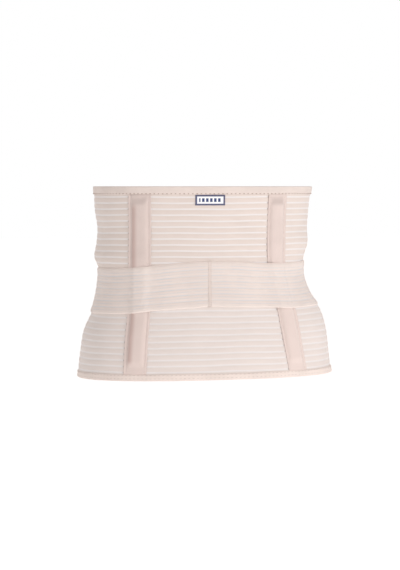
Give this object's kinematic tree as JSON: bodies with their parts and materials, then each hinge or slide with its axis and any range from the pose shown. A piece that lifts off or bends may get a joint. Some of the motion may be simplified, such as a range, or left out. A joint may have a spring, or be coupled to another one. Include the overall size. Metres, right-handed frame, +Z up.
{
  "type": "abdominal binder",
  "caption": "Wide ribbed elastic waist belt with net channels, two stay pockets up the back, a narrow ribbed waist strap and a closed front panel, in the form it has when worn.",
  "frame": {"origin": "middle of the hollow at the waist, where the binder sits on the body; the belt's edges are 111 mm above and 141 mm below it at the centre back", "axes": "+Z up along the body, -Y towards the wearer's back (the pictured side), +X to the wearer's right"},
  "size_m": [0.3445, 0.2453, 0.2576],
  "materials": {
    "ribbed_elastic": "beige-pink knitted elastic with white net channels",
    "strap_elastic": "beige-pink knitted elastic",
    "edge_tape": "matt woven tape with stitches",
    "plush": "short matt nap",
    "spring_steel": "satin",
    "label_weave": "woven, navy border round a white field"
  },
  "bodies": {
    "root": {"main_belt": "ribbed_elastic", "top_binding": "edge_tape", "bottom_binding": "edge_tape", "stay_pocket_left": "plush", "stay_pocket_right": "plush", "stay_left": "spring_steel", "stay_right": "spring_steel", "waist_strap_left": "strap_elastic", "waist_strap_right": "strap_elastic", "centre_seam": "edge_tape", "label": "label_weave", "front_closure": "plush", "strap_closure": "plush"}
  },
  "joints": []
}
